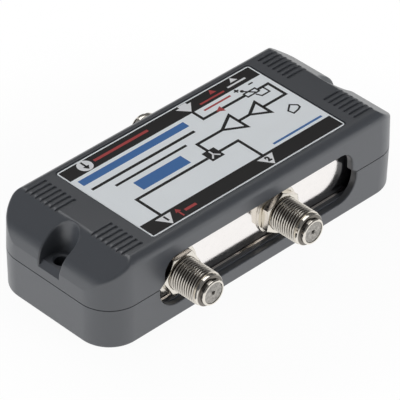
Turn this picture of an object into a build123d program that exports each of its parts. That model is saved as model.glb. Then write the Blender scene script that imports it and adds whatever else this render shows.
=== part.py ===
from build123d import *
import math
import os

# A small distribution amplifier for television aerials, in millimetres.
# The origin is the middle of the underside. X runs along the case, the two outputs face -Y,
# the input, the supply socket and the gain trimmer face +Y, and Z is up.

# Case
case_length = 106.4
case_width = 43.0
case_height = 26.0
corner_radius = 9.5
wall = 2.0
draft_angle = 1.2
seam_height = 12.0
seam_gap = 0.25
top_edge_radius = 2.8
foot_edge_radius = 0.8
slope_angle = 36.0
slope_foot_rise = 7.24
slope_edge_radius = 1.0
ridge_radius = 2.5
brow_setback = 1.2
brow_angle = 72.0
brow_radius = 6.0
crown_trim = 0.03

# Tongue along the seam, with its catches
tongue_height = 1.4
tongue_thickness = 0.8
tongue_clearance = 0.1
catch_length = 4.6
catch_depth = 0.3
catch_height = 0.5
catch_lift = 0.4

# Screw notches at the two ends
notch_inset = 4.7
notch_radius = 3.5
notch_floor_drop = 2.84
notch_bevel = 1.6
notch_draft = 5.0
notch_wall = 2.0
notch_edge_radius = 0.5
screw_hole_diameter = 4.0
screw_hole_chamfer = 0.4
boss_radius = 3.6

# Windows in the two long sides, one shape shared by both covers
window_end_margin = 18.0
window_above_port = 7.6
window_below_port = 7.7
window_step = 1.7
window_step_height = 1.3
window_high_radius = 4.4
window_low_radius = 6.4
window_edge_radius = 0.4
shelf_drop = 0.4
shelf_clearance = 0.1

# Grip grooves and label on the top
groove_reach = 6.4
groove_width = 1.15
groove_depth = 0.5
groove_draft = 24.0
groove_pitch = 1.78
groove_count = 7
groove_edge_margin = 9.5
label_groove_gap = 3.4
label_edge_gap = 1.0
label_thickness = 0.2
label_corner_radius = 0.8
recess_margin = 0.5
recess_depth = 0.3

# Shield box of tinned sheet, and what holds it in the case
shield_recess = 3.7
shield_end_clearance = 4.4
shield_corner_radius = 1.0
sheet = 0.5
lid_sheet = 0.4
lid_rim_height = 1.3
lid_clearance = 0.05
tab_length = 3.0
tab_depth = 1.5
seat_height = 1.0
seat_length = 9.0
seat_width = 4.0
hold_down_height = 2.0
hold_down_width = 1.4
guide_clearance = 0.2
guide_thickness = 1.4
guide_width = 5.0
guide_height = 6.0

# Sockets for the aerial leads, 3/8 inch with 32 turns to the inch
port_height = 12.2
thread_diameter = 9.525
thread_pitch = 0.794
thread_depth = 0.42
thread_crest = 0.12
thread_reach = 11.3
nose_length = 2.5
collar_radius = 4.5
collar_length = 1.1
collar_chamfer = 0.5
neck_radius = 3.6
tip_radius = 3.35
tip_chamfer = 0.25
bore_radius = 3.0
flange_radius = 6.2
flange_thickness = 1.5
barrel_radius = 4.0
barrel_length = 3.8
fit_clearance = 0.05
nut_across_flats = 11.0
nut_thickness = 2.4
nut_chamfer = 0.4
washer_radius = 6.8
washer_thickness = 0.7
face_recess = 0.2
face_thickness = 1.0
entry_radius = 0.6
contact_radius = 1.2
contact_bore_radius = 0.5
contact_bore_depth = 8.0
tail_radius = 0.4
tail_length = 4.5

# Supply socket
jack_width = 9.0
jack_height = 9.6
jack_depth = 12.0
jack_proud = 2.4
jack_clearance = 0.15
jack_bore_radius = 3.15
jack_bore_depth = 9.5
jack_edge_radius = 0.6
jack_ear_width = 1.6
jack_ear_height = 1.4
jack_ear_length = 5.0
jack_pin_radius = 1.05
jack_pin_recess = 0.8
jack_pin_nose = 0.5
jack_pin_tail = 1.5
jack_spring_width = 2.4
jack_spring_thickness = 0.3
jack_spring_setback = 2.5
jack_spring_tail = 1.0
jack_sleeve_radius = 2.8

# Gain trimmer
trimmer_width = 7.6
trimmer_depth = 4.6
trimmer_height = 7.2
trimmer_wall_gap = 0.3
trimmer_edge_chamfer = 0.4
rotor_radius = 2.4
rotor_seat_depth = 3.0
rotor_proud = 1.2
rotor_hole_clearance = 0.35
rotor_slot_width = 0.8
rotor_slot_depth = 0.9
rotor_edge_chamfer = 0.25

# Circuit board and what is soldered to it
board_thickness = 1.6
board_clearance = 0.1
board_cut_clearance = 0.4
solder_gap = 0.03
chip_length = 4.5
chip_width = 2.5
chip_height = 1.5
lead_length = 1.0
lead_width = 0.5
lead_thickness = 0.2
lead_pitch = 1.5
coil_radius = 1.7
coil_bore_radius = 1.2
coil_length = 4.0
core_length = 6.0
core_width = 5.0
core_height = 3.2
core_hole_radius = 0.8
core_hole_pitch = 2.6
winding_radius = 0.3
winding_overhang = 1.2
winding_bend = 0.8
choke_radius = 2.6
choke_height = 4.0
choke_flange = 0.8
choke_waist_radius = 1.9
capacitor_radius = 3.15
capacitor_height = 7.0
capacitor_bead = 1.2
capacitor_groove = 0.25
capacitor_edge_radius = 0.4
regulator_length = 6.5
regulator_width = 3.5
regulator_height = 1.6
small_part_length = 1.6
small_part_width = 0.8
small_part_height = 0.6

# Places along the windows: the first output beside the window's end, and the others as shares
# of half a window's length
output_1_end_gap = 0.45
output_2_share = 0.247
input_share = 0.2358
jack_share = -0.753
trimmer_share = 0.761

# Places on the board, as shares of its half length and half width
amplifier_shares = ((0.02, 0.10), (0.42, 0.16))
coil_shares = ((-0.04, 0.52), (-0.16, -0.04), (0.62, -0.02), (0.78, -0.34))
splitter_shares = (-0.30, -0.34)
choke_shares = (-0.86, -0.22)
capacitor_shares = (-0.36, 0.46)
regulator_shares = (-0.60, -0.06)
chip_capacitor_shares = (
    (0.10, -0.26), (0.16, 0.34), (0.30, -0.06), (0.32, 0.36), (0.56, 0.30), (0.48, -0.22),
    (0.04, -0.50), (-0.44, -0.06), (-0.46, -0.62), (0.88, 0.10),
)
chip_resistor_shares = (
    (-0.06, -0.26), (0.24, 0.14), (0.42, -0.34), (0.60, -0.52), (-0.14, -0.60), (-0.80, 0.16),
    (-0.92, 0.30), (0.88, -0.62),
)

# What follows from the sizes above
cut_overrun = wall
end_x = case_length / 2
side_y = case_width / 2
slope_foot = seam_height + slope_foot_rise
slope_drop = case_height - slope_foot
slope_run = slope_drop / math.tan(math.radians(slope_angle))
ridge_x = end_x - slope_run
brow_rise = brow_setback * math.tan(math.radians(slope_angle))
brow_fall = brow_setback * math.tan(math.radians(brow_angle))
slope_end = slope_foot + brow_rise - brow_fall
slope_length = math.hypot(slope_run, slope_drop)
screw_x = end_x - notch_inset
crown_height = case_height + crown_trim
ceiling_height = case_height - wall
notch_floor_height = slope_foot - notch_floor_drop
column_foot_height = seam_height + tongue_height
window_half = end_x - window_end_margin
groove_length = groove_reach + groove_depth * slope_run / slope_drop + groove_width
groove_x = ridge_x - groove_reach + groove_length / 2
groove_y = side_y - groove_edge_margin
label_length = 2 * (ridge_x - groove_reach - label_groove_gap)
label_width = 2 * (side_y - top_edge_radius - label_edge_gap)
catch_y = side_y - corner_radius - catch_length / 2
shield_x = screw_x - notch_radius - notch_wall - shield_end_clearance
shield_y = side_y - shield_recess
shield_foot = wall + seat_height + lid_sheet
shield_top = ceiling_height - hold_down_height - lid_sheet
seat_x = shield_x - seat_length
seat_y = shield_y - seat_width
guide_x = shield_x + lid_clearance + lid_sheet + guide_clearance + guide_thickness / 2
shelf_y = shield_y + lid_clearance + lid_sheet + shelf_clearance
shelf_top = port_height - washer_radius - shelf_drop
thread_radius = thread_diameter / 2
nut_corner_radius = nut_across_flats / 2 / math.cos(math.pi / 6)
nut_face = washer_thickness + nut_thickness
thread_turns = int((thread_reach - nut_face) / thread_pitch)
thread_start = thread_reach - thread_turns * thread_pitch
port_reach = thread_reach + nose_length
rear_reach = sheet + flange_thickness + barrel_length
face_back = port_reach - face_recess - face_thickness
output_1_x = nut_corner_radius + output_1_end_gap + window_step - window_half
output_2_x = output_2_share * window_half
input_x = input_share * window_half
jack_x = jack_share * window_half
trimmer_x = trimmer_share * window_half
board_top = port_height - tail_radius - solder_gap
board_x = shield_x - sheet - board_clearance
board_y = shield_y - sheet - board_clearance
jack_face = shield_y + jack_proud
jack_back = jack_face - jack_depth
trimmer_face = shield_y - sheet - trimmer_wall_gap
trimmer_axis_height = board_top + trimmer_height / 2
front, back = -1, 1


# Planes and outlines that several pieces share
def facing(side, x, distance, height):
    """An upright plane that looks out of a long side, with its own y up."""
    return Plane(origin=(x, side * distance, height), x_dir=(-side, 0, 0), z_dir=(0, side, 0))


def socket_plane(side, x):
    """A level plane through a socket's axis: its x is the radius, its y runs out of the shield."""
    return Plane(origin=(x, side * shield_y, port_height), x_dir=(1, 0, 0), z_dir=(0, 0, side))


def socket_axis(side, x):
    return Axis(origin=(x, side * shield_y, port_height), direction=(0, side, 0))


def case_outline(inset):
    """The case seen from above, a given distance inside its widest outline."""
    RectangleRounded(case_length - 2 * inset, case_width - 2 * inset, corner_radius - inset)


def slope_outline(inset):
    """What the slopes at the ends take off, seen from the side, moved in square to the slope.

    Each slope steepens over a rounded brow just before the end wall.
    """
    shift_x = inset * slope_drop / slope_length
    shift_z = inset * slope_run / slope_length
    ridge = (ridge_x - shift_x, crown_height - shift_z)
    brow = (end_x - brow_setback - shift_x, slope_foot + brow_rise - shift_z)
    foot = (end_x - shift_x, slope_end - shift_z)
    with BuildSketch(Plane.XZ) as outline:
        with BuildLine():
            Polyline(
                ridge,
                brow,
                foot,
                (end_x + cut_overrun, foot[1]),
                (end_x + cut_overrun, case_height + cut_overrun),
                (ridge[0] - slope_run, case_height + cut_overrun),
                (ridge[0] - slope_run, ridge[1]),
                close=True,
            )
        make_face()
        fillet(outline.vertices().sort_by_distance(ridge)[0], radius=ridge_radius)
        fillet(outline.vertices().sort_by_distance(brow)[0], radius=brow_radius)
        mirror(about=Plane.YZ)
    return outline.sketch


def window_outline():
    """A window seen from its side: wider below the seam than above it, with a short slant between."""
    low = port_height - window_below_port
    high = port_height + window_above_port
    step_top = seam_height + window_step_height
    narrow = window_half - window_step
    with BuildSketch(Plane.XZ) as outline:
        with BuildLine():
            Polyline(
                (window_half, low),
                (window_half, seam_height),
                (narrow, step_top),
                (narrow, high),
                (-narrow, high),
                (-narrow, step_top),
                (-window_half, seam_height),
                (-window_half, low),
                close=True,
            )
        make_face()
        low_radius = min(window_low_radius, seam_height - low - window_edge_radius)
        high_radius = min(window_high_radius, high - step_top - window_edge_radius)
        fillet(outline.vertices().group_by(Axis.Y)[0], radius=low_radius)
        fillet(outline.vertices().group_by(Axis.Y)[-1], radius=high_radius)
    return outline.sketch


def notch_outline(radius):
    """A U at each end of the case, open at the end wall."""
    run = notch_inset + cut_overrun
    with Locations((screw_x, 0), (-screw_x, 0)):
        Circle(radius)
    with Locations((screw_x + run / 2, 0), (-screw_x - run / 2, 0)):
        Rectangle(run, 2 * radius)


def notch_floor_outline():
    """What stays under the notches, seen from the side: a level floor with a bevelled front."""
    low = notch_floor_height - notch_bevel
    with BuildSketch(Plane.XZ) as outline:
        with BuildLine():
            Polyline(
                (0, notch_floor_height),
                (end_x - notch_bevel, notch_floor_height),
                (end_x + cut_overrun, low - cut_overrun),
                (0, low - cut_overrun),
                close=True,
            )
        make_face()
        mirror(about=Plane.YZ)
    return outline.sketch


def catch_outline(clearance):
    """The four catches on the tongue's end stretches, or with a clearance the slots for them."""
    bite = catch_depth + clearance
    with BuildSketch(Plane.XY.offset(seam_height + catch_lift - clearance)) as outline:
        with GridLocations(2 * (end_x - wall + tongue_thickness) + bite, 2 * catch_y, 2, 2):
            Rectangle(bite, catch_length + 2 * clearance)
    return outline.sketch


# Windows that both covers are cut with, one on each side
with BuildPart() as windows:
    extrude(window_outline(), amount=side_y + cut_overrun, both=True)

# Room inside the top cover, clear of the slopes and of the columns round the notches
with BuildPart() as top_room:
    with BuildSketch(Plane.XY.offset(seam_height)):
        case_outline(wall)
    extrude(amount=ceiling_height - seam_height)
    extrude(slope_outline(wall), amount=side_y, both=True, mode=Mode.SUBTRACT)
    with BuildSketch(Plane.XY.offset(column_foot_height)):
        notch_outline(notch_radius + notch_wall)
    extrude(amount=case_height, mode=Mode.SUBTRACT)

# Notches that the top cover is cut with, wider towards the top
with BuildPart() as notches:
    with BuildSketch(Plane.XY.offset(notch_floor_height - notch_bevel)):
        notch_outline(notch_radius)
    extrude(amount=case_height, taper=-notch_draft)
    extrude(notch_floor_outline(), amount=side_y, both=True, mode=Mode.SUBTRACT)

# Top cover
with BuildPart() as top_cover:
    with BuildSketch(Plane.XY.offset(seam_height + seam_gap)):
        case_outline(0)
    extrude(amount=crown_height - seam_height - seam_gap, taper=draft_angle)
    fillet(top_cover.faces().sort_by(Axis.Z)[-1].edges(), radius=top_edge_radius)
    extrude(slope_outline(0), amount=side_y + cut_overrun, both=True, mode=Mode.SUBTRACT)
    with BuildSketch(Plane.XY.offset(case_height)):
        case_outline(0)
    extrude(amount=cut_overrun, mode=Mode.SUBTRACT)
    slope_rim = top_cover.edges().filter_by(
        lambda edge: abs(edge.center().X) > end_x - corner_radius / 2
        and slope_end < edge.center().Z < case_height - slope_drop / 2
    )
    fillet(slope_rim, radius=slope_edge_radius)
    add(top_room.part, mode=Mode.SUBTRACT)
    add(notches.part, mode=Mode.SUBTRACT)
    notch_rim = top_cover.edges().filter_by(
        lambda edge: abs(edge.center().X) > ridge_x
        and abs(edge.center().Y) < notch_radius + notch_wall / 2
        and edge.center().Z > notch_floor_height + notch_edge_radius
        and abs(abs(edge.center().X) - screw_x) > notch_edge_radius
    )
    fillet(notch_rim, radius=notch_edge_radius)
    with BuildSketch(Plane.XY.offset(column_foot_height)):
        with Locations((screw_x, 0), (-screw_x, 0)):
            Circle(screw_hole_diameter / 2)
    extrude(amount=notch_floor_height - column_foot_height, mode=Mode.SUBTRACT)
    hole_rim = top_cover.edges().filter_by(GeomType.CIRCLE).filter_by(
        lambda edge: abs(edge.radius - screw_hole_diameter / 2) < fit_clearance
        and edge.center().Z > notch_floor_height - wall / 2
    )
    chamfer(hole_rim, length=screw_hole_chamfer)
    with BuildSketch(Plane.XY.offset(seam_height)):
        case_outline(wall - tongue_thickness - tongue_clearance)
        RectangleRounded(
            case_length - 2 * wall,
            case_width - 2 * wall,
            corner_radius - wall,
            mode=Mode.SUBTRACT,
        )
    extrude(amount=tongue_height, mode=Mode.SUBTRACT)
    extrude(
        catch_outline(tongue_clearance),
        amount=catch_height + 2 * tongue_clearance,
        mode=Mode.SUBTRACT,
    )
    with BuildSketch(Plane.XY.offset(ceiling_height)):
        with GridLocations(2 * seat_x, 2 * seat_y, 2, 2):
            Rectangle(seat_length, hold_down_width)
    extrude(amount=-hold_down_height)
    add(windows.part, mode=Mode.SUBTRACT)
    window_rim = top_cover.edges().filter_by(
        lambda edge: abs(edge.center().X) < window_half
        and abs(edge.center().Y) > side_y - wall / 4
        and seam_height + window_step_height / 2 < edge.center().Z
        and edge.center().Z < port_height + window_above_port + fit_clearance
    )
    fillet(window_rim, radius=window_edge_radius)
    with BuildSketch(Plane.XY.offset(case_height)):
        for side_x in (-groove_x, groove_x):
            for middle_y in (-groove_y, groove_y):
                with Locations((side_x, middle_y)):
                    with GridLocations(0, groove_pitch, 1, groove_count):
                        SlotOverall(groove_length, groove_width)
    extrude(amount=-groove_depth, taper=groove_draft, mode=Mode.SUBTRACT)
    with BuildSketch(Plane.XY.offset(case_height)):
        RectangleRounded(
            label_length + 2 * recess_margin,
            label_width + 2 * recess_margin,
            label_corner_radius + recess_margin,
        )
    extrude(amount=-recess_depth, mode=Mode.SUBTRACT)
top_cover.part.label = "top_cover"

# Room inside the bottom cover, clear of the screw bosses
with BuildPart() as bottom_room:
    with BuildSketch(Plane.XY.offset(wall)):
        case_outline(wall)
    extrude(amount=seam_height + tongue_height - wall)
    with BuildSketch(Plane.XY.offset(wall)):
        with Locations((screw_x, 0), (-screw_x, 0)):
            Circle(boss_radius)
    extrude(amount=column_foot_height - wall, mode=Mode.SUBTRACT)

# Bottom cover
with BuildPart() as bottom_cover:
    with BuildSketch(Plane.XY.offset(seam_height)):
        case_outline(0)
    extrude(amount=-seam_height, taper=draft_angle)
    fillet(bottom_cover.faces().sort_by(Axis.Z)[0].edges(), radius=foot_edge_radius)
    with BuildSketch(Plane.XY.offset(seam_height)):
        case_outline(wall - tongue_thickness)
    extrude(amount=tongue_height)
    add(bottom_room.part, mode=Mode.SUBTRACT)
    extrude(catch_outline(0), amount=catch_height)
    with BuildSketch(Plane.XY.offset(wall)):
        with GridLocations(2 * seat_x, 2 * seat_y, 2, 2):
            Rectangle(seat_length, seat_width)
    extrude(amount=seat_height)
    with BuildSketch(Plane.XY.offset(wall)):
        with GridLocations(2 * guide_x, 2 * seat_y, 2, 2):
            Rectangle(guide_thickness, guide_width)
    extrude(amount=guide_height)
    with BuildSketch():
        with Locations((screw_x, 0), (-screw_x, 0)):
            Circle(screw_hole_diameter / 2)
    extrude(amount=column_foot_height, mode=Mode.SUBTRACT)
    add(windows.part, mode=Mode.SUBTRACT)
    window_rim = bottom_cover.edges().filter_by(
        lambda edge: abs(edge.center().X) < window_half + fit_clearance
        and abs(edge.center().Y) > side_y - wall / 4
        and port_height - window_below_port - fit_clearance < edge.center().Z
        and edge.center().Z < seam_height - fit_clearance
    )
    fillet(window_rim, radius=window_edge_radius)
    with BuildSketch(Plane.XY.offset(wall)):
        with GridLocations(0, side_y - wall + shelf_y, 1, 2):
            Rectangle(2 * window_half, side_y - wall - shelf_y)
    extrude(amount=shelf_top - wall)
bottom_cover.part.label = "bottom_cover"

# Label in the top cover's recess
with BuildPart() as label_sheet:
    with BuildSketch(Plane.XY.offset(case_height - recess_depth)):
        RectangleRounded(label_length, label_width, label_corner_radius)
    extrude(amount=label_thickness)
label_sheet.part.label = "label_sheet"

# Shield frame: a band of sheet, open above and below, with tabs under the board
with BuildPart() as shield_frame:
    with BuildSketch(Plane.XY.offset(shield_foot)):
        RectangleRounded(2 * shield_x, 2 * shield_y, shield_corner_radius)
        RectangleRounded(
            2 * (shield_x - sheet),
            2 * (shield_y - sheet),
            shield_corner_radius - sheet,
            mode=Mode.SUBTRACT,
        )
    extrude(amount=shield_top - shield_foot)
    with BuildSketch(Plane.XY.offset(board_top - board_thickness)):
        with GridLocations(2 * shield_x - 2 * sheet - tab_depth, 2 * seat_y, 2, 2):
            Rectangle(tab_depth, tab_length)
    extrude(amount=-sheet)
    for side, x in ((front, output_1_x), (front, output_2_x), (back, input_x)):
        with BuildSketch(facing(side, x, shield_y, port_height)):
            Circle(thread_radius + fit_clearance)
        extrude(amount=-sheet, mode=Mode.SUBTRACT)
    with BuildSketch(facing(back, jack_x, shield_y, port_height)):
        Rectangle(jack_width + 2 * jack_clearance, jack_height + 2 * jack_clearance)
    extrude(amount=-sheet, mode=Mode.SUBTRACT)
    with BuildSketch(facing(back, trimmer_x, shield_y, trimmer_axis_height)):
        Circle(rotor_radius + rotor_hole_clearance)
    extrude(amount=-sheet, mode=Mode.SUBTRACT)
shield_frame.part.label = "shield_frame"


def shield_lid(plate_height, rim_direction):
    """A lid with a rim all round that grips the frame from outside."""
    reach = lid_clearance + lid_sheet
    with BuildPart() as lid:
        with BuildSketch(Plane.XY.offset(plate_height)):
            RectangleRounded(2 * (shield_x + reach), 2 * (shield_y + reach), shield_corner_radius + reach)
        extrude(amount=rim_direction * (lid_sheet + lid_rim_height))
        with BuildSketch(Plane.XY.offset(plate_height + rim_direction * lid_sheet)):
            RectangleRounded(
                2 * (shield_x + lid_clearance),
                2 * (shield_y + lid_clearance),
                shield_corner_radius + lid_clearance,
            )
        extrude(amount=rim_direction * lid_rim_height, mode=Mode.SUBTRACT)
    return lid


shield_top_lid = shield_lid(shield_top + lid_sheet, -1)
shield_top_lid.part.label = "shield_top_lid"
shield_bottom_lid = shield_lid(shield_foot - lid_sheet, 1)
shield_bottom_lid.part.label = "shield_bottom_lid"


# The five pieces of an aerial socket, each turned round the same axis
def socket_body(side, x):
    thread = [
        point
        for turn in range(thread_turns)
        for point in (
            (thread_radius, thread_start + turn * thread_pitch + thread_crest),
            (thread_radius - thread_depth, thread_start + (turn + 0.5) * thread_pitch + thread_crest / 2),
            (thread_radius, thread_start + (turn + 1) * thread_pitch),
        )
    ]
    with BuildPart() as body:
        with BuildSketch(socket_plane(side, x)):
            with BuildLine():
                Polyline(
                    (bore_radius, -rear_reach),
                    (barrel_radius, -rear_reach),
                    (barrel_radius, -sheet - flange_thickness),
                    (flange_radius, -sheet - flange_thickness),
                    (flange_radius, -sheet),
                    (thread_radius, -sheet),
                    *thread,
                    (collar_radius, thread_reach),
                    (collar_radius, thread_reach + collar_length),
                    (neck_radius, thread_reach + collar_length + collar_chamfer),
                    (neck_radius, port_reach - tip_chamfer),
                    (tip_radius, port_reach),
                    (bore_radius, port_reach),
                    close=True,
                )
            make_face()
        revolve(axis=socket_axis(side, x))
    return body


def socket_nut(side, x, turned):
    with BuildPart() as nut:
        with BuildSketch(facing(side, x, shield_y + washer_thickness, port_height)):
            RegularPolygon(nut_across_flats / 2, side_count=6, major_radius=False, rotation=turned)
            Circle(thread_radius + fit_clearance, mode=Mode.SUBTRACT)
        extrude(amount=nut_thickness)
        with BuildSketch(socket_plane(side, x)):
            with BuildLine():
                Polyline(
                    (0, washer_thickness),
                    (nut_across_flats / 2, washer_thickness),
                    (nut_corner_radius, washer_thickness + nut_chamfer),
                    (nut_corner_radius, nut_face - nut_chamfer),
                    (nut_across_flats / 2, nut_face),
                    (0, nut_face),
                    close=True,
                )
            make_face()
        revolve(axis=socket_axis(side, x), mode=Mode.INTERSECT)
    return nut


def socket_washer(side, x):
    with BuildPart() as washer:
        with BuildSketch(facing(side, x, shield_y, port_height)):
            Circle(washer_radius)
            Circle(thread_radius + fit_clearance, mode=Mode.SUBTRACT)
        extrude(amount=washer_thickness)
    return washer


def socket_insulator(side, x):
    with BuildPart() as insulator:
        with BuildSketch(socket_plane(side, x)):
            with BuildLine():
                Polyline(
                    (contact_radius + fit_clearance, -rear_reach),
                    (bore_radius - fit_clearance, -rear_reach),
                    (bore_radius - fit_clearance, port_reach - face_recess),
                    (entry_radius, port_reach - face_recess),
                    (entry_radius, face_back),
                    (contact_radius + fit_clearance, face_back),
                    close=True,
                )
            make_face()
        revolve(axis=socket_axis(side, x))
    return insulator


def socket_contact(side, x):
    with BuildPart() as contact:
        with BuildSketch(socket_plane(side, x)):
            with BuildLine():
                Polyline(
                    (0, -rear_reach - tail_length),
                    (tail_radius, -rear_reach - tail_length),
                    (tail_radius, -rear_reach),
                    (contact_radius, -rear_reach),
                    (contact_radius, face_back),
                    (contact_bore_radius, face_back),
                    (contact_bore_radius, face_back - contact_bore_depth),
                    (0, face_back - contact_bore_depth),
                    close=True,
                )
            make_face()
        revolve(axis=socket_axis(side, x))
    return contact


# Each socket's name, side, place and how far its nut is turned
sockets = (
    ("output_1", front, output_1_x, 30),
    ("output_2", front, output_2_x, 0),
    ("input", back, input_x, 15),
)
socket_pieces = {}
for socket_name, side, x, turned in sockets:
    socket_pieces[f"{socket_name}_body"] = socket_body(side, x)
    socket_pieces[f"{socket_name}_nut"] = socket_nut(side, x, turned)
    socket_pieces[f"{socket_name}_washer"] = socket_washer(side, x)
    socket_pieces[f"{socket_name}_insulator"] = socket_insulator(side, x)
    socket_pieces[f"{socket_name}_contact"] = socket_contact(side, x)

# Supply socket: housing, centre pin and the leaf that touches the plug's sleeve
with BuildPart() as dc_jack_housing:
    with BuildSketch(facing(back, jack_x, jack_face, port_height)):
        RectangleRounded(jack_width, jack_height, jack_edge_radius)
    extrude(amount=-jack_depth)
    with BuildSketch(Plane.XY.offset(board_top)):
        with Locations((jack_x, jack_back + jack_ear_length / 2)):
            Rectangle(jack_width + 2 * jack_ear_width, jack_ear_length)
    extrude(amount=jack_ear_height)
    with BuildSketch(facing(back, jack_x, jack_face, port_height)):
        Circle(jack_bore_radius)
    extrude(amount=-jack_bore_depth, mode=Mode.SUBTRACT)
    slot_middle = jack_sleeve_radius + jack_spring_thickness / 2
    with BuildSketch(facing(back, jack_x, jack_face, port_height)):
        Circle(jack_pin_radius + fit_clearance)
        with Locations((0, slot_middle)):
            Rectangle(jack_spring_width + 2 * fit_clearance, jack_spring_thickness + 2 * fit_clearance)
    extrude(amount=-jack_depth, mode=Mode.SUBTRACT)
dc_jack_housing.part.label = "dc_jack_housing"

with BuildPart() as dc_jack_pin:
    with BuildSketch(facing(back, jack_x, jack_back - jack_pin_tail, port_height)):
        Circle(jack_pin_radius)
    extrude(amount=jack_depth + jack_pin_tail - jack_pin_recess)
    fillet(dc_jack_pin.faces().sort_by(Axis.Y)[-1].edges(), radius=jack_pin_nose)
dc_jack_pin.part.label = "dc_jack_pin"

with BuildPart() as dc_jack_spring:
    with BuildSketch(facing(back, jack_x, jack_back - jack_spring_tail, port_height + slot_middle)):
        Rectangle(jack_spring_width, jack_spring_thickness)
    extrude(amount=jack_depth + jack_spring_tail - jack_spring_setback)
dc_jack_spring.part.label = "dc_jack_spring"

# Gain trimmer: its body on the board, and the rotor that a screwdriver turns
with BuildPart() as gain_trimmer_body:
    with BuildSketch(facing(back, trimmer_x, trimmer_face, trimmer_axis_height)):
        Rectangle(trimmer_width, trimmer_height)
    extrude(amount=-trimmer_depth)
    chamfer(gain_trimmer_body.edges().filter_by(Axis.Y).group_by(Axis.Z)[-1], length=trimmer_edge_chamfer)
    with BuildSketch(facing(back, trimmer_x, trimmer_face, trimmer_axis_height)):
        Circle(rotor_radius + fit_clearance)
    extrude(amount=-rotor_seat_depth, mode=Mode.SUBTRACT)
gain_trimmer_body.part.label = "gain_trimmer_body"

with BuildPart() as gain_trimmer_rotor:
    rotor_foot = trimmer_face - rotor_seat_depth + fit_clearance
    rotor_face = trimmer_face + rotor_proud
    with BuildSketch(facing(back, trimmer_x, rotor_foot, trimmer_axis_height)):
        Circle(rotor_radius)
    extrude(amount=rotor_face - rotor_foot)
    chamfer(gain_trimmer_rotor.faces().sort_by(Axis.Y)[-1].edges(), length=rotor_edge_chamfer)
    with BuildSketch(facing(back, trimmer_x, rotor_face, trimmer_axis_height)):
        Rectangle(rotor_slot_width, 2 * rotor_radius)
    extrude(amount=-rotor_slot_depth, mode=Mode.SUBTRACT)
gain_trimmer_rotor.part.label = "gain_trimmer_rotor"

# Circuit board, cut out round the sockets
with BuildPart() as circuit_board:
    with BuildSketch(Plane.XY.offset(board_top - board_thickness)):
        RectangleRounded(2 * board_x, 2 * board_y, shield_corner_radius)
        port_cut = board_y - shield_y + rear_reach + board_cut_clearance
        for side, x in ((front, output_1_x), (front, output_2_x), (back, input_x)):
            with Locations((x, side * (board_y - port_cut / 2))):
                Rectangle(2 * (flange_radius + board_cut_clearance), port_cut, mode=Mode.SUBTRACT)
        jack_cut = board_y - jack_back + jack_pin_tail + board_cut_clearance
        with Locations((jack_x, board_y - jack_cut / 2)):
            Rectangle(jack_width + 2 * board_cut_clearance, jack_cut, mode=Mode.SUBTRACT)
    extrude(amount=board_thickness)
circuit_board.part.label = "circuit_board"


# Parts on the board
def on_board(shares):
    """A place on the board from its shares of the board's half length and half width."""
    return (shares[0] * board_x, shares[1] * board_y)


with BuildPart() as amplifier_transistors:
    with BuildSketch(Plane.XY.offset(board_top + lead_thickness)):
        with Locations(*[on_board(shares) for shares in amplifier_shares]):
            Rectangle(chip_length, chip_width)
    extrude(amount=chip_height)
    chamfer(amplifier_transistors.faces().group_by(Axis.Z)[-1].edges(), length=lead_thickness)
    with BuildSketch(Plane.XY.offset(board_top)):
        with Locations(*[on_board(shares) for shares in amplifier_shares]):
            with GridLocations(lead_pitch, 0, 3, 1):
                Rectangle(lead_width, chip_width + 2 * lead_length)
    extrude(amount=2 * lead_thickness)
amplifier_transistors.part.label = "amplifier_transistors"

with BuildPart() as voltage_regulator:
    with BuildSketch(Plane.XY.offset(board_top + lead_thickness)):
        with Locations(on_board(regulator_shares)):
            Rectangle(regulator_length, regulator_width)
    extrude(amount=regulator_height)
    chamfer(voltage_regulator.faces().sort_by(Axis.Z)[-1].edges(), length=lead_thickness)
    with BuildSketch(Plane.XY.offset(board_top)):
        with Locations(on_board(regulator_shares)):
            with GridLocations(lead_pitch, 0, 3, 1):
                Rectangle(lead_width, regulator_width + 2 * lead_length)
    extrude(amount=2 * lead_thickness)
voltage_regulator.part.label = "voltage_regulator"

splitter_x, splitter_y = on_board(splitter_shares)
with BuildPart() as splitter_core:
    with BuildSketch(facing(back, splitter_x, splitter_y, board_top + core_height / 2)):
        SlotOverall(core_length, core_height)
        with GridLocations(core_hole_pitch, 0, 2, 1):
            Circle(core_hole_radius, mode=Mode.SUBTRACT)
    extrude(amount=core_width / 2, both=True)
splitter_core.part.label = "splitter_core"

with BuildPart() as splitter_winding:
    wire_height = board_top + core_height / 2
    near_y = splitter_y - core_width / 2 - winding_overhang
    far_y = splitter_y + core_width / 2 + winding_overhang
    left_x = splitter_x - core_hole_pitch / 2
    right_x = splitter_x + core_hole_pitch / 2
    with BuildLine() as wire:
        FilletPolyline(
            (left_x, near_y, board_top),
            (left_x, near_y, wire_height),
            (left_x, far_y, wire_height),
            (right_x, far_y, wire_height),
            (right_x, near_y, wire_height),
            (right_x, near_y, board_top),
            radius=winding_bend,
        )
    with BuildSketch(Plane(origin=(left_x, near_y, board_top), z_dir=(0, 0, 1))):
        Circle(winding_radius)
    sweep(path=wire.line)
splitter_winding.part.label = "splitter_winding"

with BuildPart() as filter_coils:
    for shares in coil_shares:
        coil_x, coil_y = on_board(shares)
        with BuildSketch(Plane(origin=(coil_x, coil_y, board_top + solder_gap + coil_radius), z_dir=(1, 0, 0))):
            Circle(coil_radius)
            Circle(coil_bore_radius, mode=Mode.SUBTRACT)
        extrude(amount=coil_length / 2, both=True)
filter_coils.part.label = "filter_coils"

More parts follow.
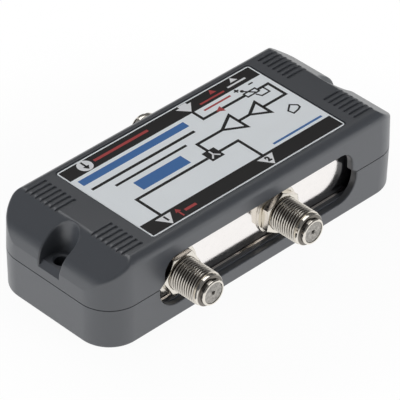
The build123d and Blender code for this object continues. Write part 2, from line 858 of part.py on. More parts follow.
choke_x, choke_y = on_board(choke_shares)
with BuildPart() as feed_choke:
    with BuildSketch(Plane(origin=(choke_x, choke_y, board_top), x_dir=(1, 0, 0), z_dir=(0, -1, 0))):
        with BuildLine():
            Polyline(
                (0, 0),
                (choke_radius, 0),
                (choke_radius, choke_flange),
                (choke_waist_radius, choke_flange),
                (choke_waist_radius, choke_height - choke_flange),
                (choke_radius, choke_height - choke_flange),
                (choke_radius, choke_height),
                (0, choke_height),
                close=True,
            )
        make_face()
    revolve(axis=Axis(origin=(choke_x, choke_y, board_top), direction=(0, 0, 1)))
feed_choke.part.label = "feed_choke"

can_x, can_y = on_board(capacitor_shares)
with BuildPart() as electrolytic_capacitor:
    with BuildSketch(Plane(origin=(can_x, can_y, board_top), x_dir=(1, 0, 0), z_dir=(0, -1, 0))):
        with BuildLine():
            Polyline(
                (0, 0),
                (capacitor_radius, 0),
                (capacitor_radius, capacitor_bead),
                (capacitor_radius - capacitor_groove, capacitor_bead + capacitor_groove),
                (capacitor_radius, capacitor_bead + 2 * capacitor_groove),
                (capacitor_radius, capacitor_height),
                (0, capacitor_height),
                close=True,
            )
        make_face()
    revolve(axis=Axis(origin=(can_x, can_y, board_top), direction=(0, 0, 1)))
    fillet(electrolytic_capacitor.faces().sort_by(Axis.Z)[-1].edges(), radius=capacitor_edge_radius)
electrolytic_capacitor.part.label = "electrolytic_capacitor"


def small_parts(places):
    with BuildPart() as chips:
        with BuildSketch(Plane.XY.offset(board_top)):
            with Locations(*[on_board(shares) for shares in places]):
                Rectangle(small_part_length, small_part_width)
        extrude(amount=small_part_height)
    return chips


chip_capacitors = small_parts(chip_capacitor_shares)
chip_capacitors.part.label = "chip_capacitors"
chip_resistors = small_parts(chip_resistor_shares)
chip_resistors.part.label = "chip_resistors"

# One file for each piece
os.makedirs("parts", exist_ok=True)
export_step(top_cover.part, "parts/top_cover.step")
export_step(bottom_cover.part, "parts/bottom_cover.step")
export_step(label_sheet.part, "parts/label_sheet.step")
export_step(shield_frame.part, "parts/shield_frame.step")
export_step(shield_top_lid.part, "parts/shield_top_lid.step")
export_step(shield_bottom_lid.part, "parts/shield_bottom_lid.step")
for name, piece in socket_pieces.items():
    piece.part.label = name
    export_step(piece.part, f"parts/{name}.step")
export_step(dc_jack_housing.part, "parts/dc_jack_housing.step")
export_step(dc_jack_pin.part, "parts/dc_jack_pin.step")
export_step(dc_jack_spring.part, "parts/dc_jack_spring.step")
export_step(gain_trimmer_body.part, "parts/gain_trimmer_body.step")
export_step(gain_trimmer_rotor.part, "parts/gain_trimmer_rotor.step")
export_step(circuit_board.part, "parts/circuit_board.step")
export_step(amplifier_transistors.part, "parts/amplifier_transistors.step")
export_step(voltage_regulator.part, "parts/voltage_regulator.step")
export_step(splitter_core.part, "parts/splitter_core.step")
export_step(splitter_winding.part, "parts/splitter_winding.step")
export_step(filter_coils.part, "parts/filter_coils.step")
export_step(feed_choke.part, "parts/feed_choke.step")
export_step(electrolytic_capacitor.part, "parts/electrolytic_capacitor.step")
export_step(chip_capacitors.part, "parts/chip_capacitors.step")
export_step(chip_resistors.part, "parts/chip_resistors.step")
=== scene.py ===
"""A small distribution amplifier for television aerials, dressed for its picture.

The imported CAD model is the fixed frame. This script adds the threads, the print and the finishes.
"""

import math
from typing import NamedTuple

import bmesh
import bpy
import numpy as np
from mathutils import Matrix, Vector


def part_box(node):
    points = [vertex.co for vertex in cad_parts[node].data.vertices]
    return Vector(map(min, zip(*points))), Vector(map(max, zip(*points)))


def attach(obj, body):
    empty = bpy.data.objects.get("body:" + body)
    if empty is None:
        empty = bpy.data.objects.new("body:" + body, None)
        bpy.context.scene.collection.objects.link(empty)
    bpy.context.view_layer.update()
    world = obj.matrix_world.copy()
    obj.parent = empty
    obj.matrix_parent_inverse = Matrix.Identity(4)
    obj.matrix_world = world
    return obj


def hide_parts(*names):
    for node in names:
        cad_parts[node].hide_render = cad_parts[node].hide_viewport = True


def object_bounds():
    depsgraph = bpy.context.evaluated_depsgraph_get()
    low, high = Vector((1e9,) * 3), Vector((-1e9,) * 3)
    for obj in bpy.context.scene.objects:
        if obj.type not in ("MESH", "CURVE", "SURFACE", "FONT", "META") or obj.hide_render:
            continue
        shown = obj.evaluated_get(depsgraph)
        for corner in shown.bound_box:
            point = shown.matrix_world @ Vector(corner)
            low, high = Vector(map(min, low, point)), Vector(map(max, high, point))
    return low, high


bl_info = {
    "name": "Aerial amplifier",
    "version": (1, 0, 0),
    "blender": (4, 5, 0),
    "location": "View3D > Sidebar > Amplifier",
    "description": "Dresses a packed aerial amplifier with its threads, print and finishes",
    "category": "Object",
}

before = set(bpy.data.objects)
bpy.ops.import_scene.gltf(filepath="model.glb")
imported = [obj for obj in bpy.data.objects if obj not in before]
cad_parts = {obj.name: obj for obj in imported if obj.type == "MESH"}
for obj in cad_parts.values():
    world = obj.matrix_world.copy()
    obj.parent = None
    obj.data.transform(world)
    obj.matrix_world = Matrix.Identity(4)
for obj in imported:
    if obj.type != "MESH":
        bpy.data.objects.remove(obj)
cad_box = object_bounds()

MM = 0.001
CASE = "case"
ROTOR = "trimmer_rotor"
FRONT, BACK = -1, 1

# Places read from the frame
LABEL_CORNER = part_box("label_sheet")[1]
PLATE_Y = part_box("shield_frame")[1].y

# A CAD node's copy has its points merged within this distance
MERGE_DISTANCE = 0.0005 * MM

# A socket's body, with distances measured outwards from the shield's wall
BORE_RADIUS = 3.0 * MM
TAIL_RADIUS, TAIL_END = 4.0 * MM, -5.8 * MM
FLANGE_RADIUS, FLANGE_BACK, FLANGE_FACE = 6.2 * MM, -2.0 * MM, -0.5 * MM
NECK_RADIUS = 4.7625 * MM
FOOT_SOFTNESS = 0.12 * MM
THREAD_START, THREAD_END, THREAD_RUN_OUT = 0.9 * MM, 11.3 * MM, 0.5 * MM
THREAD_OVERRUN = 0.1 * MM
THREAD_ROWS_PER_TURN = 14
CREST_SHARE = 0.12

# Its nose beyond the thread: a collar, a step down to a waist, and the rim of the mouth
UNDERCUT_RADIUS, UNDERCUT_END = 4.34 * MM, 11.34 * MM
COLLAR_RADIUS, COLLAR_START, COLLAR_END = 4.5 * MM, 11.55 * MM, 12.3 * MM
SHOULDER_RADIUS, SHOULDER_END = 4.3 * MM, 12.5 * MM
WAIST_RADIUS, WAIST_START, WAIST_MIDDLE, WAIST_END = 3.6 * MM, 12.6 * MM, 13.3 * MM, 13.55 * MM
RIM_RADIUS, RIM_END = 3.4 * MM, 13.8 * MM
NOSE_SOFTNESS = 0.08 * MM

# The colour and strength of the painted shade in the grooves and of the painted dark reflection on
# the waist, and where the latter lies
GROOVE_PAINTED_SHADE_COLOUR = (0.09, 0.08, 0.07, 1.0)
GROOVE_PAINTED_SHADE = 1.15
WAIST_PAINTED_REFLECTION = 0.85
WAIST_PAINTED_REFLECTION_PLACES = (12.4 * MM, 12.5 * MM, 13.28 * MM, 13.45 * MM)

# Nut and washer, which share a bore
NUT_BORE_RADIUS = 4.8125 * MM
NUT_BORE_EDGE = 0.05 * MM
NUT_APOTHEM = 5.5 * MM
NUT_THICKNESS = 2.4 * MM
NUT_CHAMFER = 0.4 * MM
NUT_SOFTNESS = 0.035 * MM
NUT_TURNS = {"output_1": 0.0, "output_2": 30.0, "input": 15.0}
WASHER_RADIUS = 6.8 * MM
WASHER_THICKNESS = 0.7 * MM
WASHER_SOFTNESS = 0.12 * MM

# How many points go round each turned piece
BODY_SEGMENTS = 112
NUT_SEGMENTS = 240
WASHER_SEGMENTS = 128

# How much of its height a number's strokes are thickened by
NUMBER_WEIGHT = 0.07

# Floor: a disc that turns to plain white between two distances from the object's middle
FLOOR_RADIUS = 1.6
FLOOR_MIDDLE = 0.004
FLOOR_RINGS, FLOOR_SEGMENTS = 24, 96
FLOOR_GAP = 0.02 * MM
FLOOR_COLOUR = (0.86, 0.86, 0.86, 1.0)
FLOOR_FADE = (0.05, 0.10)
FLOOR_WHITE_SHARE = 0.95

# Surround: the heights of direction between which it dims
HORIZON_HEIGHT, ZENITH_HEIGHT = -0.02, 0.22
WHITE = (1.0, 1.0, 1.0, 1.0)

# Lamps
SIDE_LAMP_PLACE = (-0.78, 0.32, 0.18)
FRONT_LAMP_PLACE = (0.32, -0.78, 0.18)
LOW_LAMP_TARGET, LOW_LAMP_SIZE = (0.0, 0.0, 0.01), 0.45
TOP_LAMP_PLACE = (0.1, 0.25, 0.75)
TOP_LAMP_TARGET, TOP_LAMP_SIZE = (0.0, 0.0, 0.0), 0.6

# Camera, as measured in the photograph
CAMERA_ELEVATION, CAMERA_AZIMUTH, CAMERA_ROLL = 37.545, 44.918, 0.851
PICTURE_PIXELS = 400
PIXELS_PER_MM = 3.87
FILM_WIDTH = 36.0
AIM_X, AIM_Y = 0.262 * MM, -7.525 * MM
CLIP_START, CLIP_END = 0.01, 20.0


class Finish(NamedTuple):
    """The look of a skin, with a fine relief as its grain and a slow drift of its tone."""

    colour: tuple
    roughness: float
    grain_size: float
    grain_depth: float
    drift_size: float = 16 * MM
    contrast: float = 0.1
    metallic: float = 0.0
    specular: float = 0.5


# Colour, roughness, grain size and depth, then the drift's size and contrast where they differ
FINISHES = {
    "case_plastic": Finish((0.050, 0.055, 0.064), 0.33, 0.22 * MM, 0.010 * MM, specular=1.0),
    "nickel": Finish(
        (0.78, 0.74, 0.67), 0.11, 0.6 * MM, 0.002 * MM, 4 * MM, 0.12, metallic=1.0
    ),
    "nut_nickel": Finish(
        (0.78, 0.74, 0.67), 0.18, 0.5 * MM, 0.002 * MM, 4 * MM, 0.1, metallic=1.0
    ),
    "socket_insulator": Finish(
        (0.33, 0.315, 0.29), 0.5, 0.4 * MM, 0.02 * MM, 0.9 * MM, 1.4
    ),
    "contact_metal": Finish((0.80, 0.76, 0.66), 0.25, 0.3 * MM, 0.001 * MM, metallic=1.0),
    "label_film": Finish((0.88, 0.92, 0.95), 0.38, 0.35 * MM, 0.004 * MM, 9 * MM, 0.06),
    "black_ink": Finish(
        (0.010, 0.009, 0.009), 0.45, 0.3 * MM, 0.003 * MM, 6 * MM, 0.3, specular=0.35
    ),
    "white_ink": Finish((0.82, 0.83, 0.85), 0.4, 0.3 * MM, 0.003 * MM, 6 * MM, 0.06),
    "blue_ink": Finish((0.045, 0.16, 0.42), 0.38, 0.3 * MM, 0.003 * MM, 6 * MM, 0.12),
    "red_ink": Finish((0.42, 0.05, 0.05), 0.38, 0.3 * MM, 0.003 * MM, 6 * MM, 0.12),
    "tinned_sheet": Finish(
        (0.92, 0.89, 0.87), 0.12, 1.4 * MM, 0.003 * MM, 12 * MM, 0.05, metallic=1.0
    ),
    "jack_plastic": Finish((0.020, 0.020, 0.022), 0.38, 0.2 * MM, 0.006 * MM),
    "contact_metal_supply": Finish(
        (0.80, 0.76, 0.68), 0.25, 0.3 * MM, 0.001 * MM, metallic=1.0
    ),
    "trimmer_plastic": Finish((0.045, 0.12, 0.30), 0.42, 0.2 * MM, 0.004 * MM),
    "rotor_plastic": Finish((0.72, 0.70, 0.64), 0.4, 0.2 * MM, 0.004 * MM),
    "board": Finish((0.03, 0.13, 0.05), 0.4, 0.8 * MM, 0.004 * MM, 3 * MM, 0.4),
    "chip_plastic": Finish((0.018, 0.018, 0.019), 0.5, 0.15 * MM, 0.005 * MM),
    "ferrite": Finish((0.035, 0.035, 0.037), 0.55, 0.3 * MM, 0.01 * MM, 2 * MM, 0.4),
    "copper_wire": Finish(
        (0.72, 0.33, 0.16), 0.28, 0.4 * MM, 0.002 * MM, 2 * MM, 0.2, metallic=1.0
    ),
    "can_metal": Finish((0.08, 0.10, 0.22), 0.35, 0.4 * MM, 0.002 * MM),
    "capacitor_ceramic": Finish((0.42, 0.28, 0.17), 0.5, 0.2 * MM, 0.003 * MM),
    "resistor_ceramic": Finish((0.03, 0.03, 0.03), 0.4, 0.2 * MM, 0.003 * MM),
}

# The finish of each node on the board
BOARD_FINISHES = {
    "circuit_board": "board",
    "amplifier_transistors": "chip_plastic",
    "voltage_regulator": "chip_plastic",
    "splitter_core": "ferrite",
    "feed_choke": "ferrite",
    "splitter_winding": "copper_wire",
    "filter_coils": "copper_wire",
    "electrolytic_capacitor": "can_metal",
    "chip_capacitors": "capacitor_ceramic",
    "chip_resistors": "resistor_ceramic",
}


def socket_places():
    """Each socket's name, side and axis, from the box of its CAD body."""
    places = []
    for name in ("output_1", "output_2", "input"):
        low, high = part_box(f"{name}_body")
        middle = (low + high) / 2
        places.append((name, FRONT if middle.y < 0 else BACK, middle.x, middle.z))
    return places


# Sizes and colours that a user would change
class CaseSettings(bpy.types.PropertyGroup):
    colour: bpy.props.FloatVectorProperty(
        name="Case colour",
        description="Colour of the moulded covers",
        subtype="COLOR",
        default=FINISHES["case_plastic"].colour,
        min=0.0,
        max=1.0,
    )
    roughness: bpy.props.FloatProperty(
        name="Case roughness",
        description="How matt the moulded covers are",
        subtype="FACTOR",
        default=FINISHES["case_plastic"].roughness,
        min=0.0,
        max=1.0,
    )
    shine: bpy.props.FloatProperty(
        name="Case shine",
        description="How strongly the moulded covers reflect, where one half is common plastic",
        subtype="FACTOR",
        default=FINISHES["case_plastic"].specular,
        min=0.0,
        max=1.0,
    )
    grain_size: bpy.props.FloatProperty(
        name="Grain size",
        description="Size of the moulded grain",
        unit="LENGTH",
        precision=6,
        default=FINISHES["case_plastic"].grain_size,
        min=0.01 * MM,
    )
    grain_depth: bpy.props.FloatProperty(
        name="Grain depth",
        description="Depth of the moulded grain",
        unit="LENGTH",
        precision=6,
        default=FINISHES["case_plastic"].grain_depth,
        min=0.0,
    )


class SocketSettings(bpy.types.PropertyGroup):
    thread_radius: bpy.props.FloatProperty(
        name="Thread radius",
        description="Radius over the crests of the socket's thread",
        unit="LENGTH",
        precision=6,
        default=4.7625 * MM,
    )
    thread_pitch: bpy.props.FloatProperty(
        name="Thread pitch",
        description="Distance from one crest to the next",
        unit="LENGTH",
        precision=6,
        default=0.794 * MM,
    )
    thread_depth: bpy.props.FloatProperty(
        name="Thread depth",
        description="Depth of the thread's groove",
        unit="LENGTH",
        precision=6,
        default=0.42 * MM,
    )
    metal: bpy.props.FloatVectorProperty(
        name="Plating colour",
        description="Colour of the nickel plating",
        subtype="COLOR",
        default=FINISHES["nickel"].colour,
        min=0.0,
        max=1.0,
    )
    insulator: bpy.props.FloatVectorProperty(
        name="Insulator colour",
        description="Colour of the insulator at the socket's mouth",
        subtype="COLOR",
        default=FINISHES["socket_insulator"].colour,
        min=0.0,
        max=1.0,
    )


class LabelSettings(bpy.types.PropertyGroup):
    film: bpy.props.FloatVectorProperty(
        name="Film colour",
        description="Colour of the label's film",
        subtype="COLOR",
        default=FINISHES["label_film"].colour,
        min=0.0,
        max=1.0,
    )
    line_width: bpy.props.FloatProperty(
        name="Line width",
        description="Width of the diagram's lines",
        unit="LENGTH",
        precision=6,
        default=0.88 * MM,
    )
    ink_thickness: bpy.props.FloatProperty(
        name="Ink thickness",
        description="Thickness of one layer of ink",
        unit="LENGTH",
        precision=6,
        default=0.015 * MM,
    )


class StageSettings(bpy.types.PropertyGroup):
    focal_length: bpy.props.FloatProperty(
        name="Focal length",
        description="Focal length of the camera, in millimetres of a 36 mm film",
        default=315.0,
    )
    side_power: bpy.props.FloatProperty(
        name="Side power",
        description="Power of the low lamp beyond the left end, in watts",
        default=5.0,
    )
    front_power: bpy.props.FloatProperty(
        name="Front power",
        description="Power of the low lamp beyond the outputs, in watts",
        default=5.0,
    )
    top_power: bpy.props.FloatProperty(
        name="Top power",
        description="Power of the lamp overhead, in watts",
        default=1.8,
    )
    overhead: bpy.props.FloatProperty(
        name="Overhead",
        description="How bright the surround is overhead, as a share of its horizon",
        subtype="FACTOR",
        default=0.16,
        min=0.0,
        max=1.0,
    )


# Surfaces
def grid_mesh(name, points, closed_rows=False, capped=False):
    """Makes a mesh from a grid of points, rows by columns by three.

    The columns always close on themselves, so each row is a ring. The rows close on themselves
    where closed_rows is set, and otherwise capped puts one flat face on the first and last ring.
    Faces whose signed volume is negative are turned, so that they point outwards.
    """
    rows, columns = points.shape[:2]
    row = np.arange(rows if closed_rows else rows - 1)[:, None]
    column = np.arange(columns)[None, :]
    next_row = (row + 1) % rows
    next_column = (column + 1) % columns
    quads = np.stack(
        (
            row * columns + column,
            row * columns + next_column,
            next_row * columns + next_column,
            next_row * columns + column,
        ),
        axis=-1,
    ).reshape(-1, 4)
    flat = points.reshape(-1, 3)
    middle = flat.mean(axis=0)
    first, second, third, fourth = (flat[quads[:, k]] - middle for k in range(4))
    volume = np.einsum("ij,ij->i", first, np.cross(second, third)).sum()
    volume += np.einsum("ij,ij->i", first, np.cross(third, fourth)).sum()
    faces = quads.tolist()
    if capped:
        faces.append(list(range(columns))[::-1])
        faces.append([(rows - 1) * columns + k for k in range(columns)])
    if volume < 0:
        faces = [face[::-1] for face in faces]
    mesh = bpy.data.meshes.new(name)
    mesh.from_pydata(flat.tolist(), [], faces)
    mesh.update()
    return mesh


def soften(corners, radius, steps=4):
    """Rounds every corner of a closed profile.

    Each corner C becomes the curve (1-t)^2 A + 2t(1-t) C + t^2 B, where A and B lie one radius
    from C along its two sides, or a little under half a side where that is shorter.
    """
    most = 0.45
    corners = np.asarray(corners, float)
    before = np.roll(corners, 1, axis=0) - corners
    after = np.roll(corners, -1, axis=0) - corners
    length_before = np.linalg.norm(before, axis=1, keepdims=True)
    length_after = np.linalg.norm(after, axis=1, keepdims=True)
    start = corners + before / length_before * np.minimum(radius, most * length_before)
    end = corners + after / length_after * np.minimum(radius, most * length_after)
    t = np.linspace(0, 1, steps)[None, :, None]
    middle = corners[:, None]
    curve = (1 - t) ** 2 * start[:, None] + 2 * t * (1 - t) * middle + t**2 * end[:, None]
    return curve.reshape(-1, 2)


def round_angles(count):
    """Angles spread evenly round one turn."""
    return np.arange(count) * 2 * math.pi / count


def around_socket(side, x, z, radius, distance, segments):
    """Turns a profile round a socket's axis.

    A point at an angle a is (x + r cos a, side (plate + d), z + r sin a). The radius may be one
    column, or rows by segments where it changes with the angle.
    """
    angle = round_angles(segments)
    radius = np.broadcast_to(radius, (len(distance), segments))
    along = np.broadcast_to(side * (PLATE_Y + distance)[:, None], radius.shape)
    return np.stack((x + radius * np.cos(angle), along, z + radius * np.sin(angle)), axis=-1)


def add_piece(mesh, material, body=CASE, replaces=(), smooth_angle=30.0):
    """Puts a mesh into the scene as a piece that rides on a body."""
    piece = bpy.data.objects.new(mesh.name, mesh)
    bpy.context.scene.collection.objects.link(piece)
    mesh.shade_smooth()
    mesh.set_sharp_from_angle(angle=math.radians(smooth_angle))
    mesh.materials.clear()
    mesh.materials.append(material)
    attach(piece, body)
    if replaces:
        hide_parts(*replaces)
    return piece


def smooth_copy(node, material, body=CASE, smooth_angle=28.0):
    """Stands a merged copy in for a CAD node, so that its roundings shade as curves.

    The copy has the node's own points. Weighted normals keep the flat faces flat.
    """
    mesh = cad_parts[node].data.copy()
    mesh.name = f"{node}_smooth"
    merged = bmesh.new()
    merged.from_mesh(mesh)
    bmesh.ops.remove_doubles(merged, verts=merged.verts, dist=MERGE_DISTANCE)
    merged.to_mesh(mesh)
    merged.free()
    if mesh.has_custom_normals:
        mesh.attributes.remove(mesh.attributes["custom_normal"])
    piece = add_piece(mesh, material, body, (node,), smooth_angle)
    weighted = piece.modifiers.new("Weighted normals", "WEIGHTED_NORMAL")
    weighted.keep_sharp = True


def finish_node(node, material):
    """Gives a CAD node its material in place."""
    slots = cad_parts[node].material_slots
    if not slots:
        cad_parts[node].data.materials.append(material)
    for slot in slots:
        slot.material = material


# Shader nodes
def add_math(tree, operation, *values):
    """Adds a math node whose inputs are sockets or plain numbers, and gives its output."""
    node = tree.nodes.new("ShaderNodeMath")
    node.operation = operation
    for socket, value in zip(node.inputs, values):
        if isinstance(value, bpy.types.NodeSocket):
            tree.links.new(value, socket)
        else:
            socket.default_value = value
    return node.outputs[0]


def add_noise(tree, place, scale, detail):
    """Adds a noise texture read at a place, and gives its factor."""
    node = tree.nodes.new("ShaderNodeTexNoise")
    node.inputs["Detail"].default_value = detail
    tree.links.new(place, node.inputs["Vector"])
    tree.links.new(scale, node.inputs["Scale"])
    return node.outputs["Fac"]


def add_range(tree, value, given, wanted=(0.0, 1.0), curve="LINEAR"):
    """Adds a node that maps one range of values to another, and gives its result."""
    node = tree.nodes.new("ShaderNodeMapRange")
    node.interpolation_type = curve
    node.inputs["From Min"].default_value, node.inputs["From Max"].default_value = given
    node.inputs["To Min"].default_value, node.inputs["To Max"].default_value = wanted
    tree.links.new(value, node.inputs["Value"])
    return node.outputs["Result"]


def new_group(name, inputs, outputs):
    """An empty shader group with its sockets, and the nodes that carry them."""
    group = bpy.data.node_groups.new(name, "ShaderNodeTree")
    for label, kind, value in inputs:
        socket = group.interface.new_socket(name=label, in_out="INPUT", socket_type=kind)
        if value is not None:
            socket.default_value = value
    for label, kind in outputs:
        group.interface.new_socket(name=label, in_out="OUTPUT", socket_type=kind)
    given = group.nodes.new("NodeGroupInput").outputs
    out = group.nodes.new("NodeGroupOutput").inputs
    return group, given, out


# Shared effects
def moulded_grain_group():
    """Fine noise for a moulded or cast skin, with a slow drift of tone over it."""
    group, given, out = new_group(
        "Moulded grain",
        (
            ("Vector", "NodeSocketVector", None),
            ("Grain", "NodeSocketFloat", 5000.0),
            ("Drift", "NodeSocketFloat", 60.0),
            ("Contrast", "NodeSocketFloat", 0.1),
            ("Colour", "NodeSocketColor", (0.5, 0.5, 0.5, 1.0)),
        ),
        (
            ("Height", "NodeSocketFloat"),
            ("Colour", "NodeSocketColor"),
            ("Drift", "NodeSocketFloat"),
        ),
    )
    grain = add_noise(group, given["Vector"], given["Grain"], 3.0)
    drift = add_noise(group, given["Vector"], given["Drift"], 4.0)
    centred = add_math(group, "SUBTRACT", add_math(group, "ADD", grain, drift), 1.0)
    tone = add_math(group, "MULTIPLY_ADD", centred, given["Contrast"], 1.0)
    tint = group.nodes.new("ShaderNodeVectorMath")
    tint.operation = "SCALE"
    group.links.new(given["Colour"], tint.inputs[0])
    group.links.new(tone, tint.inputs["Scale"])
    group.links.new(grain, out["Height"])
    group.links.new(tint.outputs["Vector"], out["Colour"])
    group.links.new(drift, out["Drift"])
    return group


def rub_marks_group():
    """Short fine scratches, lying mostly one way, as a mask."""
    group, given, out = new_group(
        "Rub marks",
        (
            ("Vector", "NodeSocketVector", None),
            ("Scale", "NodeSocketFloat", 900.0),
            ("Amount", "NodeSocketFloat", 0.3),
        ),
        (("Mask", "NodeSocketFloat"),),
    )
    stretch = group.nodes.new("ShaderNodeMapping")
    stretch.inputs["Rotation"].default_value = (0.3, 0.2, 0.7)
    stretch.inputs["Scale"].default_value = (1.0, 0.06, 1.0)
    group.links.new(given["Vector"], stretch.inputs["Vector"])
    noise = add_noise(group, stretch.outputs["Vector"], given["Scale"], 2.0)
    thin = add_range(group, noise, (0.62, 0.72))
    group.links.new(add_math(group, "MULTIPLY", thin, given["Amount"]), out["Mask"])
    return group


def shared_group(name):
    """Builds a shared group once, and hands the same one to every material."""
    makers = {"Moulded grain": moulded_grain_group, "Rub marks": rub_marks_group}
    if name not in bpy.data.node_groups:
        makers[name]()
    return bpy.data.node_groups[name]


def place_group(tree, name, place, **values):
    """Places a shared group in a material, read at a place and with its own values."""
    node = tree.nodes.new("ShaderNodeGroup")
    node.node_tree = shared_group(name)
    for key, value in values.items():
        node.inputs[key].default_value = value
    tree.links.new(place, node.inputs["Vector"])
    return node.outputs


def new_material(name):
    """A material with its shader and Object coordinates."""
    material = bpy.data.materials.new(name)
    material.use_nodes = True
    tree = material.node_tree
    shader = tree.nodes["Principled BSDF"]
    place = tree.nodes.new("ShaderNodeTexCoord")
    return material, tree, shader, place.outputs["Object"]


def grained(name, **changes):
    """A material with a moulded, cast or pressed skin: grain, drift of tone and rub marks.

    Its values are those of its finish, apart from the changes. The roughness R becomes
    R (base + drift share * drift + rub share * rub marks).
    """
    base, drift_share, rub_share = 0.87, 0.25, 0.35
    marks_per_grain, marks_amount = 0.2, 0.25
    finish = FINISHES[name]._replace(**changes)
    rough = finish.roughness
    material, tree, shader, place = new_material(name)
    skin = place_group(
        tree,
        "Moulded grain",
        place,
        Grain=1 / finish.grain_size,
        Drift=1 / finish.drift_size,
        Contrast=finish.contrast,
        Colour=(*finish.colour, 1.0),
    )
    marks_scale = marks_per_grain / finish.grain_size
    marks = place_group(tree, "Rub marks", place, Scale=marks_scale, Amount=marks_amount)
    drifted = add_math(tree, "MULTIPLY_ADD", skin["Drift"], drift_share * rough, base * rough)
    rubbed = add_math(tree, "MULTIPLY_ADD", marks["Mask"], rub_share * rough, drifted)
    bump = tree.nodes.new("ShaderNodeBump")
    bump.inputs["Strength"].default_value = 1.0
    bump.inputs["Distance"].default_value = finish.grain_depth
    tree.links.new(skin["Height"], bump.inputs["Height"])
    tree.links.new(skin["Colour"], shader.inputs["Base Color"])
    tree.links.new(rubbed, shader.inputs["Roughness"])
    tree.links.new(bump.outputs["Normal"], shader.inputs["Normal"])
    shader.inputs["Metallic"].default_value = finish.metallic
    shader.inputs["Specular IOR Level"].default_value = finish.specular
    return material


def thread_plating_with_painted_shade(colour):
    """Bright plating with painted shade in its grooves and a painted dark reflection on its waist,
    both read from the mesh's own groove attribute.
    """
    material = grained("nickel", colour=colour)
    tree = material.node_tree
    shader = tree.nodes["Principled BSDF"]
    plain = shader.inputs["Base Color"].links[0].from_socket
    groove = tree.nodes.new("ShaderNodeAttribute")
    groove.attribute_name = "groove"
    # Mixes the painted shade colour into the plating where the groove attribute asks for it
    painted_shade_and_reflection = tree.nodes.new("ShaderNodeMix")
    painted_shade_and_reflection.data_type = "RGBA"
    painted_shade_and_reflection.inputs["B"].default_value = GROOVE_PAINTED_SHADE_COLOUR
    tree.links.new(groove.outputs["Fac"], painted_shade_and_reflection.inputs["Factor"])
    tree.links.new(plain, painted_shade_and_reflection.inputs["A"])
    tree.links.new(painted_shade_and_reflection.outputs["Result"], shader.inputs["Base Color"])
    return material


# Pieces
def socket_body_mesh(name, side, x, z, settings):
    """A socket's plated body with a real thread.

    The profile runs up the bore, over the flange, along the thread and back down the nose. On the
    thread the radius is R - D (1 - c) f, where c is a crest wave, 1 on the crest and 0 in the
    groove, of the phase (distance / pitch + side * turn), and f eases the ends in.
    """
    radius, pitch, depth = settings.thread_radius, settings.thread_pitch, settings.thread_depth
    thread_rows = int((THREAD_END - THREAD_START) / pitch * THREAD_ROWS_PER_TURN)
    along = np.linspace(THREAD_START, THREAD_END, thread_rows)
    foot = soften(
        (
            (BORE_RADIUS, TAIL_END),
            (TAIL_RADIUS, TAIL_END),
            (TAIL_RADIUS, FLANGE_BACK),
            (FLANGE_RADIUS, FLANGE_BACK),
            (FLANGE_RADIUS, FLANGE_FACE),
            (NECK_RADIUS, FLANGE_FACE),
        ),
        FOOT_SOFTNESS,
    )
    nose = soften(
        (
            (UNDERCUT_RADIUS, UNDERCUT_END),
            (COLLAR_RADIUS, COLLAR_START),
            (COLLAR_RADIUS, COLLAR_END),
            (SHOULDER_RADIUS, SHOULDER_END),
            (WAIST_RADIUS, WAIST_START),
            (WAIST_RADIUS, WAIST_MIDDLE),
            (WAIST_RADIUS, WAIST_END),
            (RIM_RADIUS, RIM_END),
            (BORE_RADIUS, RIM_END),
        ),
        NOSE_SOFTNESS,
    )
    distance = np.concatenate((foot[:, 1], along, nose[:, 1]))
    plain = np.concatenate((foot[:, 0], np.full(len(along), radius), nose[:, 0]))
    turn = np.arange(BODY_SEGMENTS) / BODY_SEGMENTS
    phase = (distance[:, None] / pitch + side * turn[None, :]) % 1.0
    crest = np.clip((np.abs(2 * phase - 1) - CREST_SHARE) / (1 - 2 * CREST_SHARE), 0, 1)
    threaded = np.zeros(len(distance))
    rising = np.clip((along - THREAD_START) / THREAD_RUN_OUT, 0, 1)
    falling = np.clip((THREAD_END + THREAD_OVERRUN - along) / THREAD_RUN_OUT, 0, 1)
    threaded[len(foot):len(foot) + len(along)] = rising * falling
    groove = (1 - crest) * threaded[:, None]
    points = around_socket(
        side, x, z, plain[:, None] - depth * groove, distance, BODY_SEGMENTS
    )
    mesh = grid_mesh(name, points, closed_rows=True)
    # Painted dark reflection: a dark band round the outside of the waist
    painted_waist_reflection = np.interp(distance, WAIST_PAINTED_REFLECTION_PLACES, (0.0, WAIST_PAINTED_REFLECTION, WAIST_PAINTED_REFLECTION, 0.0))
    painted_waist_reflection = painted_waist_reflection * (plain > (WAIST_RADIUS + RIM_RADIUS) / 2)
    # Painted shade: the grooves darkened, plus the waist's painted dark reflection, kept as the
    # groove attribute
    painted_shade_and_reflection = np.clip(groove * GROOVE_PAINTED_SHADE + painted_waist_reflection[:, None], 0, 1)
    attribute = mesh.attributes.new("groove", "FLOAT", "POINT")
    attribute.data.foreach_set("value", painted_shade_and_reflection.ravel().astype(np.float32))
    return mesh


